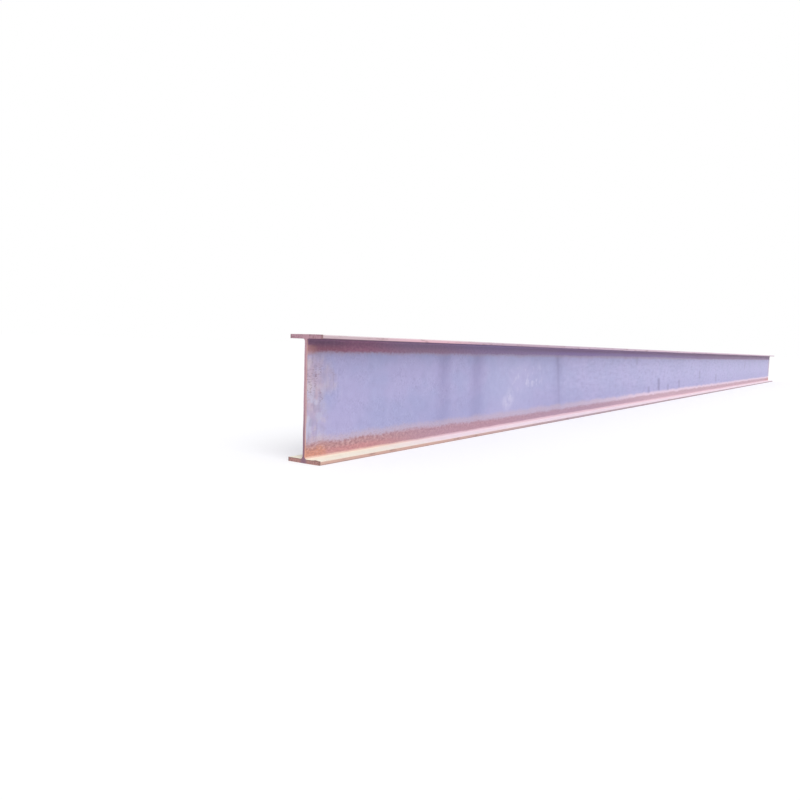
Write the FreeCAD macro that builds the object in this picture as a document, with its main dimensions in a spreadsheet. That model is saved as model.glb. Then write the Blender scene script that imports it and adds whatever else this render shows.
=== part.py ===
"""Hot-rolled steel I-beam: a 457 x 152 x 67 kg/m universal beam, cut square to a 12 m stock length.

The beam is rolled as one piece, so it is one solid: two parallel flanges, the web between them, a root
radius in each of the four inner corners, and the slightly rounded arrises that rolls leave on flange toes.

Frame, in millimetres: X runs along the beam, Y across the flanges and Z up the web. The origin is the
middle of the bottom flange's underside, so the beam stands on its flange as it does in a stack.
"""

import FreeCAD
import Part

import os

import Sketcher

PARTS_FOLDER = "parts"

# Alias, value in millimetres, what it measures.
SIZES = [
    ("beam_length", 12000.0, "stock length, end to end"),
    ("section_depth", 458.0, "outside face to outside face of the flanges"),
    ("flange_width", 153.8, "toe to toe"),
    ("web_thickness", 9.0, "web"),
    ("flange_thickness", 15.0, "each flange"),
    ("root_radius", 10.2, "inner corner between web and flange"),
    ("toe_radius", 1.5, "arrises of the flange toes, which the rolls leave a little rounded"),
]

HORIZONTAL_AXIS = -1  # geometry number of the sketch's horizontal axis
VERTICAL_AXIS = -2  # and of its vertical axis
START, END = 1, 2  # which end of a line a constraint takes
ON_LINE_MM = 1e-4  # how near an edge lies to a place in the section to be the edge there


def make_sheet(doc):
    """The driving dimensions, each in a cell with an alias that the features' expressions read."""
    sheet = doc.addObject("Spreadsheet::Sheet", "sizes")
    for row, (alias, value, meaning) in enumerate(SIZES, start=1):
        sheet.set(f"A{row}", alias)
        sheet.set(f"B{row}", str(value))
        sheet.set(f"C{row}", meaning)
        sheet.setAlias(f"B{row}", alias)
    doc.recompute()
    return sheet


def origin_plane(body, role):
    return next(plane for plane in body.Origin.OriginFeatures if plane.Role == role)


def section_corners(sheet):
    """The twelve sharp corners of the I, anticlockwise from the bottom flange's left toe."""
    toe = sheet.flange_width / 2
    web = sheet.web_thickness / 2
    top = sheet.section_depth
    lower = sheet.flange_thickness
    upper = top - lower
    right = [(toe, 0), (toe, lower), (web, lower), (web, upper), (toe, upper), (toe, top)]
    left = [(-y, z) for y, z in reversed(right)]
    return left[-1:] + right + left[:-1]


def draw_section(body, sheet):
    """The I as twelve lines on the plane across the beam, held by constraints that read the sheet."""
    sketch = body.newObject("Sketcher::SketchObject", "rolled_section")
    sketch.AttachmentSupport = [(origin_plane(body, "YZ_Plane"), "")]
    sketch.MapMode = "FlatFace"

    corners = [FreeCAD.Vector(y, z, 0) for y, z in section_corners(sheet)]
    count = len(corners)
    lines = [Part.LineSegment(corners[i], corners[(i + 1) % count]) for i in range(count)]
    sketch.addGeometry(lines, False)

    # The lines' numbers, in the order of the corners. The fourth toe, line 11, follows from the others.
    underside, top_face = 0, 6
    web_right, web_left = 3, 9
    toe, top_toe_right, top_toe_left = 1, 5, 7
    flange_inner_faces = (2, 4, 8, 10)

    held = [Sketcher.Constraint("Coincident", i, END, (i + 1) % count, START) for i in range(count)]
    held += [Sketcher.Constraint("Vertical", i) for i in range(1, count, 2)]
    held += [Sketcher.Constraint("Horizontal", i) for i in flange_inner_faces]
    held += [
        Sketcher.Constraint("PointOnObject", underside, START, HORIZONTAL_AXIS),
        Sketcher.Constraint("Symmetric", underside, START, underside, END, VERTICAL_AXIS),
        Sketcher.Constraint("Symmetric", top_face, START, top_face, END, VERTICAL_AXIS),
        Sketcher.Constraint("Symmetric", web_right, START, web_left, END, VERTICAL_AXIS),
        Sketcher.Constraint("Equal", underside, top_face),
        Sketcher.Constraint("Equal", toe, top_toe_right),
        Sketcher.Constraint("Equal", toe, top_toe_left),
    ]
    sketch.addConstraint(held)

    dimensions = {
        "flange_width": ("DistanceX", underside, START, underside, END),
        "flange_thickness": ("DistanceY", toe, START, toe, END),
        "web_thickness": ("DistanceX", web_left, END, web_right, START),
        "section_depth": ("DistanceY", underside, END, top_face, START),
    }
    for alias, (kind, *places) in dimensions.items():
        number = sketch.addConstraint(Sketcher.Constraint(kind, *places, getattr(sheet, alias)))
        sketch.renameConstraint(number, alias)
        sketch.setExpression(f"Constraints.{alias}", f"{sheet.Name}.{alias}")
    return sketch


def long_edges(shape, places):
    """Names of the edges that run the beam's length through these (y, z) places of its section."""
    names = []
    for number, edge in enumerate(shape.Edges, start=1):
        first, last = edge.Vertexes[0].Point, edge.Vertexes[-1].Point
        runs_along = abs(first.y - last.y) < ON_LINE_MM and abs(first.z - last.z) < ON_LINE_MM
        at_place = any(abs(first.y - y) < ON_LINE_MM and abs(first.z - z) < ON_LINE_MM for y, z in places)
        if runs_along and at_place:
            names.append(f"Edge{number}")
    return names


def round_edges(body, sheet, base, name, places, radius_alias):
    """A fillet on the long edges at these places, with its radius read from the sheet."""
    fillet = body.newObject("PartDesign::Fillet", name)
    fillet.Base = (base, long_edges(base.Shape, places))
    fillet.setExpression("Radius", f"{sheet.Name}.{radius_alias}")
    return fillet


def make_beam(doc, sheet):
    """The rolled section run out to the stock length, half each way, then its corners rounded."""
    body = doc.addObject("PartDesign::Body", "i_beam")
    body.Label = "i_beam"
    section = draw_section(body, sheet)
    doc.recompute()

    rolled = body.newObject("PartDesign::Pad", "rolled_length")
    rolled.Profile = section
    rolled.setExpression("Length", f"{sheet.Name}.beam_length")
    rolled.SideType = "Symmetric"
    section.Visibility = False
    doc.recompute()

    corners = section_corners(sheet)
    at_web = [(y, z) for y, z in corners if abs(y) < sheet.flange_width / 2]
    roots = round_edges(body, sheet, rolled, "root_radii", at_web, "root_radius")
    doc.recompute()

    at_toes = [corner for corner in corners if corner not in at_web]
    round_edges(body, sheet, roots, "toe_radii", at_toes, "toe_radius")
    doc.recompute()
    return body


def check(doc, pieces):
    """Stops before anything is written if an object failed or a piece is not one sound solid."""
    failed = [item.Name for item in doc.Objects if {"Invalid", "Error"} & set(item.State)]
    if failed:
        raise RuntimeError(f"these objects did not recompute: {failed}")
    for piece in pieces:
        shape = piece.Shape
        if shape.isNull() or not shape.isValid() or len(shape.Solids) != 1:
            raise RuntimeError(f"{piece.Label} is not one valid solid")


def main():
    doc = FreeCAD.newDocument("steel_i_beam")
    sheet = make_sheet(doc)
    pieces = [make_beam(doc, sheet)]
    doc.recompute()
    check(doc, pieces)
    os.makedirs(PARTS_FOLDER, exist_ok=True)
    for piece in pieces:
        piece.Shape.exportStep(os.path.join(PARTS_FOLDER, f"{piece.Label}.step"))
        print(f"{piece.Label}: {piece.Shape.Volume / 1e9:.6f} m3, box {piece.Shape.BoundBox}")


main()
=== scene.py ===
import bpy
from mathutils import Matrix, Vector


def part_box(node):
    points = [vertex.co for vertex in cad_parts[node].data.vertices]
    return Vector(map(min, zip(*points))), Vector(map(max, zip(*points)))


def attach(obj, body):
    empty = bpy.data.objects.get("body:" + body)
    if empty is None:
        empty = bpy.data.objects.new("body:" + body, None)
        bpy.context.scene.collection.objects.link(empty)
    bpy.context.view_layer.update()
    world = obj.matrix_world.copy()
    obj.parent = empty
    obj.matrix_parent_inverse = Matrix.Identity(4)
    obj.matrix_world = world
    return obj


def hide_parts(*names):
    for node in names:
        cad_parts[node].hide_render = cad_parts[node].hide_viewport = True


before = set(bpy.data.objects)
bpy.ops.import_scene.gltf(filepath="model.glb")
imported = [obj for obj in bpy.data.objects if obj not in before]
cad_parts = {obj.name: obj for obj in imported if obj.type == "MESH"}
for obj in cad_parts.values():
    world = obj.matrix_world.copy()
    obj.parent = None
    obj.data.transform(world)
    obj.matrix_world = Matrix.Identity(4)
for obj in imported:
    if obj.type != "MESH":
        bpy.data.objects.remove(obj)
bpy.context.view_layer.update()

import bpy
import numpy as np
from mathutils import Matrix, Vector


# The beam: one piece of low-carbon steel, rolled hot to an I and flame-cut to its stock length. Blue-grey
# mill scale covers it, with rust in the roots, on the toes and round the cut ends, and pale dust with
# painted top light on the face of the lower flange that looks up. Painted shade darkens the web close
# under the top flange, the face under that flange and the upper toe's foot. Nothing is fixed to it.

lowest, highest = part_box("i_beam")
length, width, depth = highest - lowest
web, flange = 0.009, 0.015
root_radius, toe_radius = 0.0102, 0.0015
root_top = flange + root_radius
chance = np.random.default_rng(457)


def half_flange():
    """Half a flange's section, from the web's middle out to the toe: how far out each column stands, and
    the heights of the outer and the inner face there. The inner face climbs a quarter circle to the web,
    and at the toe both faces turn over in quarter circles."""
    climb = np.linspace(np.pi / 2, 0, 7)
    turn = np.linspace(0, np.pi / 2, 5)
    flat = np.linspace(web / 2 + root_radius, width / 2 - toe_radius, 25)[1:-1]
    drop = toe_radius * (1 - np.cos(turn))
    out = np.concatenate([
        [0, web / 4],
        web / 2 + root_radius * (1 - np.sin(climb)),
        flat,
        width / 2 - toe_radius * (1 - np.sin(turn)),
    ])
    outer = np.concatenate([np.zeros(len(out) - len(turn)), drop])
    inner = np.concatenate([
        [root_top, root_top],
        flange + root_radius * (1 - np.cos(climb)),
        np.full(len(flat), flange),
        flange - drop,
    ])
    return out, outer, inner


# The cut face is a grid for each flange, its rows running through the thickness, and one for the web,
# whose columns carry on from the flanges' middle ones.
columns, outer, inner = half_flange()
across = np.concatenate([-columns[:0:-1], columns])
outer = np.concatenate([outer[:0:-1], outer])
inner = np.concatenate([inner[:0:-1], inner])
through = np.linspace(0, 1, 7)[:, None]
flange_z = outer + through * (inner - outer)
flange_y = np.broadcast_to(across, flange_z.shape)
middle = len(across) // 2
columns_to_web_face = 2
left, right = middle - columns_to_web_face, middle + columns_to_web_face
web_z = np.linspace(root_top, depth - root_top, 70)[1:-1, None]
web_y = across[left:right + 1] + 0 * web_z
web_z = web_z + 0 * web_y

section_y = np.concatenate([flange_y.ravel(), web_y.ravel(), flange_y.ravel()])
section_z = np.concatenate([flange_z.ravel(), web_z.ravel(), depth - flange_z.ravel()])
bottom = np.arange(flange_z.size).reshape(flange_z.shape)
upright = bottom.size + np.arange(web_z.size).reshape(web_z.shape)
top = bottom.size + upright.size + bottom
skin = np.concatenate([
    bottom[0], bottom[1:-1, -1], bottom[-1, :right - 1:-1],
    upright[:, -1], top[-1, right:], top[-2:0:-1, -1],
    top[0, ::-1], top[1:-1, 0], top[-1, :left + 1],
    upright[::-1, 0], bottom[-1, left::-1], bottom[-2:0:-1, 0],
])


def quads(grid):
    """The four corners of every cell of a grid of point numbers, anticlockwise with rows running up."""
    return np.stack([grid[:-1, :-1], grid[:-1, 1:], grid[1:, 1:], grid[1:, :-1]], axis=-1).reshape(-1, 4)


# Knocks on the toes, as slings and other beams leave, each at a place along the beam, on a side, at an
# arris, and so long and so deep.
knocks = [
    (
        chance.uniform(lowest.x + 0.3, highest.x - 0.3),
        chance.choice([-1, 1]),
        chance.choice([0, flange, depth - flange, depth]),
        chance.uniform(0.006, 0.016),
        chance.uniform(0.0005, 0.0013),
    )
    for _ in range(11)
]

# The places along the beam that have a ring of points: even ones, and closer ones by the cuts and knocks.
from_cut = np.array([0.0012, 0.0026, 0.0045, 0.007, 0.010, 0.014, 0.019, 0.026, 0.036, 0.055, 0.09])
over_knock = np.array([-2, -1.2, -0.6, 0, 0.6, 1.2, 2])
closest_rings = 0.0008
stations = np.concatenate(
    [lowest.x + from_cut, highest.x - from_cut, np.linspace(lowest.x, highest.x, 82)[1:-1]]
    + [place + size * over_knock for place, _, _, size, _ in knocks]
)
stations = np.sort(stations)
stations = stations[np.append(True, np.diff(stations) > closest_rings)]


def flame_cut(y, z, seed):
    """How far the cut lies back from the full length. It waves slowly across the section as a sine, and
    fine drag lines of random depth lie over all, leaning as they go through the thickness, with others
    for the upper half. The toes' corners are burnt round, by an amount that dies away from the toe as an
    exponential."""
    dice = np.random.default_rng(seed)
    wave_depth, wave_length = 0.0003, 0.13
    line_depth, line_spacing = 0.0006, 0.0024
    corner_depth = 0.0035
    web_lean, flange_lean = 0.4, 0.45
    upper_shift = 3
    on_web = (z > root_top) & (z < depth - root_top)
    upper = z > depth / 2
    from_outside = np.where(upper, depth - z, z)
    path = np.where(on_web, z + web_lean * y, y + flange_lean * from_outside)
    path = path + np.where(upper, upper_shift, 0)
    slow = 1 + np.sin(path * 2 * np.pi / wave_length + dice.uniform(0, 6))
    marks = np.arange(-1, upper_shift + 1, line_spacing)
    lines = np.interp(path, marks, dice.uniform(0, 1, len(marks)))
    corner = corner_depth * np.exp((np.abs(y) - width / 2) / corner_depth)
    return wave_depth * slow + line_depth * lines + corner


def worn(x, y, z):
    """Moves the rolled shape's points to where the real one's are. The web bows in slow sine waves, the
    toes rise and fall in others, knocks push the toes in as soft pits, a bead of melted steel stands on
    the near end's lower flange, and the ends close up to the flame's cut. Nothing passes the box of the
    rolled section."""
    bow, bow_length = 0.0005, 2.9
    sway, sway_length = 0.0005, 1.7
    pit_height, pit_width = 0.005, 0.006
    bead_height, bead_width, bead_length, bead_y = 0.0026, 0.011, 0.005, -0.058
    drawn_in = 0.05
    bowed = y + bow * np.sin(x * 2 * np.pi / bow_length) * np.sin(z * np.pi / depth)
    outward = (np.abs(y) * 2 / width) ** 3
    lifted = z + sway * outward * np.sin(x * 2 * np.pi / sway_length + np.sign(y) + z * 4)
    for place, side, arris, size, deep in knocks:
        from_toe, from_arris = (y - side * width / 2) / pit_width, (z - arris) / pit_height
        apart = ((x - place) / size) ** 2 + from_toe ** 2 + from_arris ** 2
        bowed = bowed - side * deep * np.exp(-apart)
    bead = bead_height * np.exp(-((y - bead_y) / bead_width) ** 2 - ((x - lowest.x) / bead_length) ** 2)
    lifted = lifted + bead * np.clip(z / flange * 2 - 1, 0, 1) * (z < depth / 2)
    for end, inward, seed in ((lowest.x, 1, 31), (highest.x, -1, 62)):
        closeness = np.clip(1 - np.abs(x - end) / drawn_in, 0, 1) ** 2
        x = x + inward * flame_cut(y, z, seed) * closeness
    bowed = np.clip(bowed, -width / 2, width / 2)
    lifted = np.clip(lifted, 0, depth)
    return np.stack([x, bowed, lifted], axis=1)


def laid_flat(places, face):
    """Where each corner of each cell lies on a square sheet laid out for a texture. The skin is unrolled
    as three strips, each about a third of the length, one above another, and the two cut faces lie
    beside them at three times the size."""
    metre, cut_metre = 1 / 4.7, 0.65
    gap, margin = 0.03, 0.008
    near_cut_corner, far_cut_corner = [0.885, 0.01], [0.885, 0.35]
    section = np.stack([section_y, section_z], axis=1)
    walk = np.diff(section[np.append(skin, skin[0])], axis=0)
    walked = np.append(0, np.cumsum(np.linalg.norm(walk, axis=1)))
    third = np.minimum(3 * (places[:-1] - lowest.x) / length, 2).astype(int)
    start = places[np.searchsorted(third, third)]
    along = np.stack([places[:-1], places[:-1], places[1:], places[1:]], axis=1) - start[:, None]
    round_it = np.stack([walked[:-1], walked[1:], walked[1:], walked[:-1]], axis=1)
    round_it = round_it[None] + third[:, None, None] * (walked[-1] + gap)
    strips = np.stack([along[:, None] + 0 * round_it, round_it], axis=-1) * metre + margin
    cut = (section + [width / 2, 0]) * cut_metre
    near_sheet = cut[face[:, ::-1]] + near_cut_corner
    far_sheet = cut[face] + far_cut_corner
    return np.concatenate([near_sheet.reshape(-1, 2), strips.reshape(-1, 2), far_sheet.reshape(-1, 2)])


def beam_mesh():
    """The section carried along the beam: a full cut face at each end, and between them a ring of skin
    points at every station. Each ring's cells run to the next one's."""
    rings, around = len(stations), len(skin)
    x = np.concatenate([
        np.full(len(section_y), lowest.x), np.repeat(stations, around), np.full(len(section_y), highest.x),
    ])
    y = np.concatenate([section_y, np.tile(section_y[skin], rings), section_y])
    z = np.concatenate([section_z, np.tile(section_z[skin], rings), section_z])
    far_start = len(section_y) + rings * around
    ring = np.concatenate([
        skin[None], len(section_y) + np.arange(rings * around).reshape(rings, around), far_start + skin[None],
    ])
    ring = np.concatenate([ring, ring[:, :1]], axis=1)
    face = np.concatenate([
        quads(bottom),
        quads(np.concatenate([bottom[-1:, left:right + 1], upright, top[-1:, left:right + 1]])),
        quads(top[::-1]),
    ])
    cells = np.concatenate([face[:, ::-1], quads(ring), far_start + face])
    mesh = bpy.data.meshes.new("rolled_beam")
    mesh.from_pydata(worn(x, y, z), [], cells)
    mesh.shade_smooth()
    mesh.set_sharp_from_angle(angle=np.radians(40))
    on_cut = mesh.attributes.new("flame_cut", "FLOAT", "POINT")
    on_face = np.ones(len(x), np.float32)
    on_face[len(section_y):far_start] = 0
    on_cut.data.foreach_set("value", on_face)
    places = np.concatenate([[lowest.x], stations, [highest.x]])
    sheet = mesh.uv_layers.new(name="OFBake")
    sheet.data.foreach_set("uv", laid_flat(places, face).astype(np.float32).ravel())
    return mesh


class Wire:
    """A socket of a material. Sums written on wires and numbers become Math nodes of the same material."""

    def __init__(self, socket):
        self.socket = socket

    def node(self, kind, settings, inputs, output=0):
        """Adds a node: first its settings, then a value or a link for each named or numbered input."""
        made = self.socket.id_data.nodes.new(kind)
        for name, value in settings.items():
            setattr(made, name, value)
        for name, value in inputs.items():
            if isinstance(value, Wire):
                value.feed(made.inputs[name])
            else:
                made.inputs[name].default_value = value
        return Wire(made.outputs[output])

    def feed(self, target):
        self.socket.id_data.links.new(self.socket, target)

    def math(self, operation, *values):
        return self.node("ShaderNodeMath", {"operation": operation}, dict(enumerate(values)))

    def __add__(self, other):
        return self.math("ADD", self, other)

    def __sub__(self, other):
        return self.math("SUBTRACT", self, other)

    def __rsub__(self, other):
        return self.math("SUBTRACT", other, self)

    def __mul__(self, other):
        return self.math("MULTIPLY", self, other)

    def __abs__(self):
        return self.math("ABSOLUTE", self)

    __radd__ = __add__
    __rmul__ = __mul__

    def lesser(self, other):
        return self.math("MINIMUM", self, other)

    def greater(self, other):
        return self.math("MAXIMUM", self, other)

    def whole(self):
        return self.math("FLOOR", self)

    def rise(self, low, high):
        """Goes smoothly from 0 at the first value to 1 at the second, which may be the smaller."""
        if low > high:
            return 1 - self.rise(high, low)
        between = {"Value": self, "From Min": low, "From Max": high}
        return self.node("ShaderNodeMapRange", {"interpolation_type": "SMOOTHSTEP"}, between)


# The steel's finish is worked out from a place's distance along the beam from the near end, its distance
# out from the web's middle and its height up from the underside, all in metres, and from the mark that
# the mesh carries on its cut faces.
finish = bpy.data.materials.new("rolled_steel")
finish.use_nodes = True
shader = finish.node_tree.nodes["Principled BSDF"]
surface = Wire(shader.outputs[0])
place = surface.node("ShaderNodeTexCoord", {}, {}, "Object")
split = surface.node("ShaderNodeSeparateXYZ", {}, {0: place}).socket.node
lengthwise, sideways, up = (Wire(socket) for socket in split.outputs)
along = lengthwise - lowest.x
from_end = along.lesser(highest.x - lengthwise)
out = abs(sideways)
cut = surface.node("ShaderNodeAttribute", {"attribute_name": "flame_cut"}, {}, "Fac")


def colour(red, green, blue):
    """A colour given as screen values from 0 to 255, turned into the light it stands for."""
    screen = np.array([red, green, blue]) / 255
    light = np.where(screen > 0.04045, ((screen + 0.055) / 1.055) ** 2.4, screen / 12.92)
    return (*light, 1.0)


def coat(under, over, cover):
    """One colour laid over another, as thickly as the cover says."""
    factor, first, second, result = 0, 6, 7, 2  # where a Mix node keeps its sockets for colours
    inputs = {factor: cover, first: under, second: over}
    return cover.node("ShaderNodeMix", {"data_type": "RGBA"}, inputs, result)


def changing(start, *later):
    """A colour that changes along the beam. Each later one comes with where it begins to show and where
    it has taken over."""
    tint = colour(*start)
    for screen, begins, full in later:
        tint = coat(tint, colour(*screen), along.rise(begins, full))
    return tint


def cloud(stretch, seed, detail):
    """Soft random blotches, from about 0.2 to 0.8, with so many to the metre each way."""
    elsewhere = (seed, seed * 0.7, seed * 1.3)
    moved = place.node(
        "ShaderNodeVectorMath", {"operation": "MULTIPLY_ADD"}, {0: place, 1: stretch, 2: elsewhere}
    )
    return place.node("ShaderNodeTexNoise", {}, {"Vector": moved, "Scale": 1.0, "Detail": detail})


def speckled(cover, specks, amount=0.9):
    """A cover whose thin parts break up into specks."""
    return (cover + (specks - 0.5) * amount).rise(0.12, 0.88)


def by_cell(cells, seed):
    """A random number from 0 to 1 for each whole cell along the beam."""
    number = cells.whole() + seed
    return cells.node("ShaderNodeTexWhiteNoise", {"noise_dimensions": "1D"}, {"W": number})


# Textures and masks that several layers of the finish share.
grain = cloud((330, 330, 330), 41, 3)
speck = cloud((190, 190, 190), 43, 3)
fleck = cloud((64, 110, 110), 45, 5)
patches = cloud((4.2, 90, 6.5), 4, 3)
brushed = cloud((75, 90, 12), 9, 3)
wander = cloud((9, 60, 9), 33, 4) - 0.5
blotch = cloud((7, 22, 22), 61, 4)

shown_side = sideways.rise(0.001, -0.001)
upper_half = up.rise(depth / 2 - 0.01, depth / 2 + 0.01)
lower_half = 1 - upper_half
off_web = out.rise(0.008, 0.013)
near_root = out.rise(0.020, 0.012)
on_toe = out.rise(width / 2 - 0.0016, width / 2 - 0.0008)
on_cut_face = cut.rise(0.8, 0.98)
far = along.rise(0.3, 6.0)
coarse = 0.26 + along.rise(0.9, 0.1) * 0.24

tanned = (from_end + (cloud((16, 40, 13), 51, 4) - 0.5) * 0.24).rise(0.17, 0.01)
clustered = cloud((16, 30, 14), 57, 2).rise(0.42, 0.60) * (tanned * 1.8).rise(0.1, 1.0)
clustered = clustered * (0.2 + abs(up - 0.28).rise(0.09, 0.03) * 0.8)
pits = cloud((70, 135, 165), 55, 4).rise(0.50, 0.62) * clustered
low_rust_height = up + wander * 0.024 + along.rise(0.6, 1.6) * along.rise(4.5, 2.8) * 0.008
low_rust = speckled(low_rust_height.rise(0.088, 0.046) * near_root, fleck)

# Dust with painted top light: the near-white colour of the lower flange's face that looks up.
dust_and_top_light = changing((254, 251, 231), ((255, 240, 244), 0.25, 1.0), ((252, 236, 242), 1.6, 3.0))
dust_and_top_light = coat(dust_and_top_light, colour(228, 192, 182), blotch.rise(0.56, 0.74) * 0.14)
dust_and_top_light = coat(dust_and_top_light, colour(232, 200, 196), out.rise(width / 2 - 0.014, width / 2) * 0.2)


def mill_scale():
    """Blue-grey to mauve in broad soft patches, paler further on. Hatching roughens the near stretch and
    faint mottling the rest, and the web is brushed up and down, most by its ends."""
    broad = patches.rise(0.34, 0.66)
    near_scale = coat(colour(173, 174, 217), colour(183, 177, 220), broad)
    far_scale = coat(colour(188, 186, 229), colour(196, 191, 234), broad)
    steel = coat(near_scale, far_scale, far)
    mottle = cloud((24, 60, 30), 15, 4)
    steel = coat(steel, colour(196, 197, 234), mottle.rise(0.50, 0.74) * 0.22)
    steel = coat(steel, colour(150, 146, 192), mottle.rise(0.50, 0.28) * 0.20)
    hatching = cloud((130, 200, 110), 16, 3)
    hatched = cloud((9, 60, 14), 18, 3).rise(0.34, 0.66) * along.rise(3.5, 0.3)
    steel = coat(steel, colour(206, 203, 236), hatching.rise(0.50, 0.72) * hatched * 0.34)
    steel = coat(steel, colour(136, 132, 180), hatching.rise(0.50, 0.28) * hatched * 0.36)
    faint = cloud((10, 60, 44), 19, 4)
    further_on = along.rise(1.5, 3.0)
    steel = coat(steel, colour(208, 202, 238), faint.rise(0.50, 0.68) * further_on * 0.32)
    steel = coat(steel, colour(158, 150, 196), faint.rise(0.50, 0.32) * further_on * 0.32)
    brushing = cloud((7, 60, 4), 11, 1).rise(0.42, 0.62) * (0.07 + from_end.rise(0.30, 0.08) * 0.4)
    steel = coat(steel, colour(214, 208, 234), brushed.rise(0.50, 0.72) * brushing)
    steel = coat(steel, colour(136, 132, 176), brushed.rise(0.48, 0.28) * brushing * 0.8)
    steel = coat(steel, colour(140, 132, 172), grain.rise(0.50, 0.72) * 0.22)
    # Darker towards the bottom of the web from about half a metre along onwards.
    return coat(steel, colour(150, 148, 195), up.rise(0.24, 0.11) * along.rise(0.4, 1.0) * 0.2)


def darker_bands(steel):
    """Broad upright darker bands, each at its place on the shown side, so wide and so dark. A thin one
    leans, softer ones fall at random, mostly on the back, and one stretch is paler."""
    darkening = 0
    for centre, half, dark in ((0.935, 0.095, 0.36), (1.256, 0.110, 0.38), (2.30, 0.13, 0.26)):
        darkening = abs(along - centre).rise(half, 0) * dark + darkening
    darkening = abs(along - 2.36 + up * 0.2).rise(0.035, 0) * 0.25 + darkening
    at_random = cloud((1.8, 60, 0.3), 21, 2).rise(0.52, 0.74) * 0.30
    darkening = darkening * shown_side + at_random * (1 - shown_side * 0.75)
    darkening = darkening * (0.5 + up.rise(0.05, depth) * 0.5)
    steel = coat(steel, colour(122, 112, 166), darkening)
    paler = abs(along - 1.64).rise(0.42, 0.10) * shown_side
    return coat(steel, colour(202, 202, 238), paler * 0.2)


def water_marked(steel):
    """Short leaning runs of dirty water, each at its place on the shown side, so high up, so tall and so
    dark. On the back, each cell of the length has one at random, or none."""
    run = 0
    for centre, foot, tall, dark in (
        (3.98, 0.34, 0.06, 0.4),
        (4.38, 0.07, 0.06, 0.5),
        (4.70, 0.10, 0.10, 0.8),
        (5.03, 0.08, 0.06, 0.5),
        (5.46, 0.10, 0.07, 0.5),
        (6.39, 0.17, 0.08, 0.5),
        (7.31, 0.11, 0.09, 0.5),
        (9.40, 0.26, 0.10, 0.5),
    ):
        upward = (up - foot).rise(-0.02, 0.01) * (up - foot).rise(tall + 0.02, tall - 0.01)
        run = abs(along - centre + up * 0.2 - foot * 0.2).rise(0.06, 0.01) * upward * dark + run
    cells = along * 2.6
    within = cells - cells.whole() - 0.25 - by_cell(cells, 0.5) * 0.5
    own_foot = 0.07 + by_cell(cells, 7.5) * 0.14
    thinned = cloud((30, 60, 12), 22, 3).rise(0.40, 0.62)
    above_foot = up - own_foot
    on_back = abs(within).rise(0.075, 0.0) * above_foot.rise(-0.03, 0.03) * above_foot.rise(0.26, 0.02)
    on_back = on_back * by_cell(cells, 3.5).rise(0.25, 0.95) * (1 - shown_side) * thinned * 0.6
    return coat(steel, colour(112, 104, 150), (run * shown_side + on_back) * 0.6)


def scuffed(steel):
    """A pale slanting scuff on the shown side, broken up by its texture, and a few pale ticks beyond it."""
    across_it = (along - 1.612) * 0.66 - (up - 0.149) * 0.75
    down_it = (along - 1.612) * 0.75 + (up - 0.149) * 0.66
    rubbed = cloud((24, 40, 26), 13, 3).rise(0.24, 0.66)
    wide = abs(across_it - down_it * 0.15).rise(0.072, 0.0)
    scuff = wide * (down_it + 0.085).rise(0.0, 0.06) * (down_it - 0.085).rise(0.0, -0.04) * rubbed
    ticks = cloud((36, 60, 28), 17, 3).rise(0.52, 0.68) * abs(along - 1.86).rise(0.30, 0.06)
    ticks = ticks * abs(up - 0.275).rise(0.11, 0.03)
    return coat(steel, colour(220, 216, 242), (scuff * 0.65 + ticks * 0.5) * shown_side)


def tanned_end(steel):
    """The web's last stretch by each cut: tanned most at mid height, scoured pale lower down, patchy, and
    freckled with dark pits in clusters."""
    mid_height = abs(up - 0.27).rise(0.13, 0.05)
    steel = coat(steel, colour(201, 176, 192), tanned * (0.40 + mid_height * 0.45))
    scoured = cloud((34, 40, 22), 52, 4).rise(0.46, 0.60) * tanned * abs(up - 0.16).rise(0.17, 0.05)
    steel = coat(steel, colour(200, 200, 226), scoured * 0.7)
    patchy = cloud((30, 40, 24), 53, 4)
    steel = coat(steel, colour(160, 152, 184), patchy.rise(0.50, 0.66) * tanned * 0.6)
    steel = coat(steel, colour(216, 202, 208), patchy.rise(0.48, 0.34) * tanned * 0.5)
    steel = coat(steel, colour(150, 136, 162), brushed.rise(0.47, 0.34) * tanned * 0.3)
    return coat(steel, colour(126, 98, 118), pits * 0.6)


def rusted_low(steel):
    """Rust creeping up the web from the lower root, speckled where it thins, behind a pale strip that is
    freckled on its nearer stretch. It is pinker low down towards the ends, and freshest in the corner by
    each cut."""
    distant = along.rise(2.2, 4.6)
    pale_strip = coat(colour(207, 186, 199), colour(240, 216, 232), distant)
    pale_edge = speckled((up + wander * 0.03).rise(0.116, 0.062) * near_root, speck)
    steel = coat(steel, pale_strip, pale_edge * (0.6 + distant * 0.35))
    freckles = pale_edge * grain.rise(0.52, 0.70) * (1 - distant)
    steel = coat(steel, colour(146, 112, 132), freckles * 0.5)
    rust = changing(
        (192, 145, 146),
        ((188, 150, 164), 0.12, 0.9),
        ((182, 153, 173), 1.2, 2.4),
        ((208, 179, 191), 2.6, 5.0),
    )
    pink = up.rise(0.052, 0.034) * from_end.rise(0.75, 0.30)
    rust = coat(rust, colour(210, 142, 144), pink * 0.7)
    fresh = (from_end + wander * 0.16).rise(0.19, 0.02) * (up + wander * 0.02).rise(0.068, 0.036)
    rust = coat(rust, colour(218, 150, 120), speckled(fresh, speck, 1.2) * 0.8)
    rust = coat(rust, colour(144, 100, 108), grain.rise(0.47, 0.66) * 0.42)
    rust = coat(rust, colour(150, 106, 110), speck.rise(0.50, 0.80) * 0.40)
    high_up = 0.4 + up.rise(0.032, 0.050) * 0.5
    rust = coat(rust, colour(138, 94, 108), fleck.rise(0.50, 0.62) * coarse * high_up)
    rust = coat(rust, colour(228, 188, 188), fleck.rise(0.48, 0.36) * coarse * high_up)
    return coat(steel, rust, low_rust * 0.94)


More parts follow.
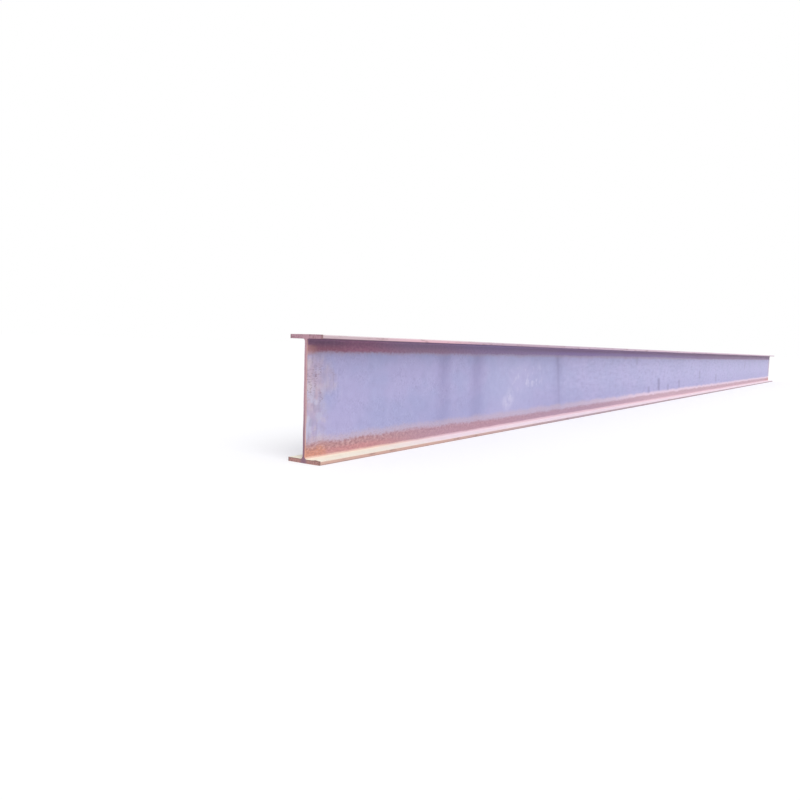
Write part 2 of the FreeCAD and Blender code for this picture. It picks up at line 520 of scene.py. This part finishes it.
def root_dust_and_top_light(steel):
    """Pale dust with painted top light up the lower root, reaching a little higher further on."""
    # Pale dust with painted top light on the lower root.
    dust_and_light_up_root = (up - along.rise(0.6, 2.6) * 0.006 - wander * 0.008).rise(0.025, 0.016) * near_root
    return coat(steel, changing((240, 214, 198), ((232, 204, 214), 0.4, 1.0)), dust_and_light_up_root * 0.8)


def rusted_high(steel):
    """Plum rust coming down the web from the upper root behind a greyish edge, a dark strip of painted
    shade close under the top flange, and browner rust in the corner by each cut."""
    grey_edge = speckled((up + wander * 0.02 + far * 0.012).rise(0.370, 0.410) * near_root, fleck)
    steel = coat(steel, colour(182, 158, 184), grey_edge * 0.6)
    sagged = up + wander * 0.012 + along.rise(3.5, 7.0) * 0.012
    high_rust = speckled(sagged.rise(0.384, 0.412) * near_root, fleck, 0.8)
    plum = changing(
        (162, 93, 118),
        ((174, 104, 136), 0.12, 0.28),
        ((163, 123, 154), 0.32, 0.68),
        ((157, 130, 178), 0.8, 1.4),
        ((153, 128, 192), 1.6, 2.6),
        ((156, 120, 168), 4.0, 8.0),
    )
    plum = coat(plum, colour(112, 66, 96), fleck.rise(0.50, 0.62) * coarse * 0.6)
    plum = coat(plum, colour(200, 150, 168), fleck.rise(0.48, 0.36) * coarse * 0.6)
    steel = coat(steel, plum, high_rust * 0.9)
    # Painted shade: a dark strip on the web close under the top flange, where the flange shades it.
    painted_shade_under_flange = changing((108, 84, 124), ((112, 104, 146), 0.3, 0.6), ((144, 106, 138), 1.2, 2.2))
    painted_shade_strength = 0.6 - along.rise(0.12, 0.28) * along.rise(2.3, 1.3) * 0.3
    steel = coat(steel, painted_shade_under_flange, up.rise(0.406, 0.432) * near_root * painted_shade_strength)
    corner_rust = (from_end + wander * 0.08).rise(0.10, 0.01) * (up + wander * 0.02).rise(0.376, 0.400)
    corner_rust = corner_rust * up.rise(0.430, 0.412)
    return coat(steel, colour(188, 136, 134), speckled(corner_rust * near_root, speck) * 0.6)


def flange_faces(steel):
    """Dust with painted top light over rust on the face that looks up, dark plum rust with painted shade on
    the face under the top flange, and scale with brown rust in blotches on the two outside faces."""
    steel = coat(steel, dust_and_top_light, off_web * lower_half)
    # Dark rust with painted shade on the face under the top flange, turning bluer further on.
    dark_rust_and_painted_shade = changing((122, 90, 112), ((130, 114, 156), 0.1, 0.7), ((136, 92, 130), 1.4, 4.0))
    dark_rust_and_painted_shade = coat(dark_rust_and_painted_shade, colour(104, 74, 94), blotch.rise(0.5, 0.7) * 0.35)
    steel = coat(steel, dark_rust_and_painted_shade, off_web * upper_half)
    weathered = coat(colour(150, 144, 172), colour(170, 136, 136), blotch.rise(0.32, 0.62))
    weathered = coat(weathered, colour(160, 116, 104), speckled(blotch.rise(0.44, 0.72), speck, 1.2) * 0.7)
    weathered = coat(weathered, colour(122, 88, 86), grain.rise(0.5, 0.7) * 0.35)
    outside = up.rise(depth - 0.002, depth - 0.0008).greater(up.rise(0.002, 0.0008))
    return coat(steel, weathered, outside)


def rusted_toes(steel):
    """Rust on the toes, marked with long dark dashes. On its nearer stretch the upper toe is rubbed pale
    along its top arris and has painted shade along its foot, which faces down. Dust with painted top light
    spills over the lower one's upper arris."""
    low_toe = changing((218, 178, 164), ((188, 165, 175), 0.3, 2.6))
    high_toe = changing(
        (212, 187, 194),
        ((232, 188, 201), 0.2, 0.6),
        ((198, 172, 190), 0.8, 1.3),
        ((210, 187, 204), 1.8, 2.5),
        ((222, 198, 214), 3.2, 5.0),
    )
    toe = coat(low_toe, high_toe, upper_half)
    dashes = cloud((16, 30, 120), 67, 3).rise(0.54, 0.7)
    toe = coat(toe, colour(152, 116, 116), dashes * 0.55)
    rubbed_arris = up.rise(depth - 0.006, depth - 0.001) * along.rise(2.6, 1.2)
    toe = coat(toe, colour(248, 238, 240), rubbed_arris * 0.6)
    # Painted shade along the upper toe's foot, which faces down, on its nearer stretch.
    painted_shade_at_toe_foot = up.rise(depth - flange + 0.0032, depth - flange + 0.0016) * upper_half
    toe = coat(toe, colour(124, 92, 110), painted_shade_at_toe_foot * along.rise(3.0, 1.0) * 0.85)
    spilled = up.rise(flange - 0.0034, flange - 0.0014) * lower_half
    toe = coat(toe, dust_and_top_light, spilled * 0.8)
    toe = coat(toe, colour(168, 130, 128), up.rise(0.005, 0.001) * 0.6)
    return coat(steel, toe, on_toe)


def cut_ends(steel):
    """The flame's cut: oxide on the faces, a thin broken line of fresh rust along the web's arrises, and
    burnt brown on the flanges, darkest round their toes."""
    on_web = out.rise(0.0075, 0.0052)
    arris = speckled((from_end + wander * 0.006).rise(0.010, 0.003), speck)
    fresh_line = coat(colour(228, 164, 138), colour(206, 160, 152), up.rise(0.04, 0.16))
    steel = coat(steel, fresh_line, arris * on_web * 0.7)
    on_flange = out.rise(0.006, 0.02)
    web_cut = coat(colour(150, 114, 132), colour(196, 153, 166), up.rise(0.03, 0.26))
    flange_cut = coat(colour(186, 140, 134), colour(188, 146, 160), upper_half)
    burnt = coat(web_cut, flange_cut, on_flange)
    gouges = cloud((1, 240, 130), 71, 2)
    burnt = coat(burnt, colour(118, 80, 80), gouges.rise(0.52, 0.66) * on_flange * 0.6)
    burnt = coat(burnt, colour(150, 114, 124), gouges.rise(0.5, 0.66) * 0.3)
    rim = out.rise(width / 2 - 0.012, width / 2 - 0.002)
    rim = rim.greater(abs(up - flange).rise(0.004, 0.001) * on_flange * 0.8)
    burnt = coat(burnt, colour(128, 98, 92), rim * 0.65)
    steel = coat(steel, colour(140, 106, 102), cut.rise(0.0, 0.25) * on_flange * 0.6)
    return coat(steel, burnt, on_cut_face)


# Each layer goes over the ones before it.
steel = mill_scale()
for layer in (
    darker_bands, water_marked, scuffed, tanned_end, rusted_low, root_dust_and_top_light, rusted_high, flange_faces,
    rusted_toes, cut_ends,
):
    steel = layer(steel)

rusty = low_rust.greater(on_toe).greater(on_cut_face).greater(off_web)
relief = grain * (0.15 + rusty * 0.85) + brushed * 0.12 - pits * 0.5
bump = relief.node("ShaderNodeBump", {}, {"Height": relief, "Distance": 0.0006, "Strength": 0.6})
rough = 0.46 + rusty * 0.32 + (patches - 0.5) * 0.15
steel.feed(shader.inputs["Base Color"])
rough.feed(shader.inputs["Roughness"])
bump.feed(shader.inputs["Normal"])

beam = bpy.data.objects.new("rolled_beam", beam_mesh())
bpy.context.scene.collection.objects.link(beam)
beam.data.materials.append(finish)
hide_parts("i_beam")
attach(beam, "root")


# The floor the beam stands on: a plain pale sheet that runs out past the horizon. To the camera it glows
# a little, so that it meets the white behind it, and still keeps the beam's shadow.

reach = 400.0
floor_glow = 0.32
floor_mesh = bpy.data.meshes.new("floor")
floor_mesh.from_pydata(
    [(-reach, -reach, 0), (reach, -reach, 0), (reach, reach, 0), (-reach, reach, 0)], [], [(0, 1, 2, 3)]
)
floor = bpy.data.objects.new("floor", floor_mesh)
bpy.context.scene.collection.objects.link(floor)
floor_paint = bpy.data.materials.new("floor_paint")
floor_paint.use_nodes = True
floor_nodes = floor_paint.node_tree.nodes
floor_shader = floor_nodes["Principled BSDF"]
floor_shader.inputs["Base Color"].default_value = (0.72, 0.72, 0.74, 1)
floor_shader.inputs["Roughness"].default_value = 1.0
floor_shader.inputs["Specular IOR Level"].default_value = 0.0
plain = Wire(floor_shader.outputs[0])
seen = plain.node("ShaderNodeLightPath", {}, {}, "Is Camera Ray")
glow = plain.node("ShaderNodeEmission", {}, {"Color": (1, 1, 1, 1), "Strength": floor_glow})
glowing = plain.node("ShaderNodeAddShader", {}, {0: plain, 1: glow})
either = plain.node("ShaderNodeMixShader", {}, {0: seen, 1: plain, 2: glowing})
either.feed(floor_nodes["Material Output"].inputs["Surface"])
floor.data.materials.append(floor_paint)


# The light: an even pale sky, white where it is looked at or mirrored, and one broad lamp high on the
# open side, which leaves the face under the top flange in shade.

sky = bpy.data.worlds.new("sky")
sky.use_nodes = True
bpy.context.scene.world = sky
backdrop = sky.node_tree.nodes["Background"]
strength_as_light, strength_as_backdrop = 0.62, 1.0
looked_at = Wire(backdrop.outputs[0]).node("ShaderNodeLightPath", {}, {}, "Is Camera Ray")
rays = looked_at.socket.node.outputs
looked_at = looked_at.greater(Wire(rays["Is Glossy Ray"])).greater(Wire(rays["Is Transmission Ray"]))
backdrop.inputs["Color"].default_value = (1, 1, 1, 1)
strength = strength_as_light + looked_at * (strength_as_backdrop - strength_as_light)
strength.feed(backdrop.inputs["Strength"])

lamp = bpy.data.lights.new("high_lamp", "SUN")
lamp.energy = 1.6
lamp.angle = np.radians(50)
lamp_stand = bpy.data.objects.new("high_lamp", lamp)
lamp_stand.rotation_euler = Vector((0.55, 0.80, -1.0)).to_track_quat("-Z", "Y").to_euler()
bpy.context.scene.collection.objects.link(lamp_stand)


# The camera: held rather less than half a metre up, not quite two metres short of the near end and well
# over a metre to the right of the beam, and looking along it. It is placed in beam depths from the near
# end's foot.

near_foot = Vector((lowest.x, 0, lowest.z))
camera = bpy.data.cameras.new("camera")
camera.lens = 31.02
camera.sensor_width = 36
camera_stand = bpy.data.objects.new("camera", camera)
stand_at = near_foot + depth * Vector((-3.9264, -3.6378, 0.9317))
heading, tilt, roll = 34.90, -4.48, 1.75
turn = (
    Matrix.Rotation(np.radians(heading - 90), 4, "Z")
    @ Matrix.Rotation(np.radians(90 + tilt), 4, "X")
    @ Matrix.Rotation(np.radians(roll), 4, "Z")
)
camera_stand.matrix_world = Matrix.Translation(stand_at) @ turn
bpy.context.scene.collection.objects.link(camera_stand)
bpy.context.scene.camera = camera_stand
bpy.context.scene.view_settings.view_transform = "Standard"
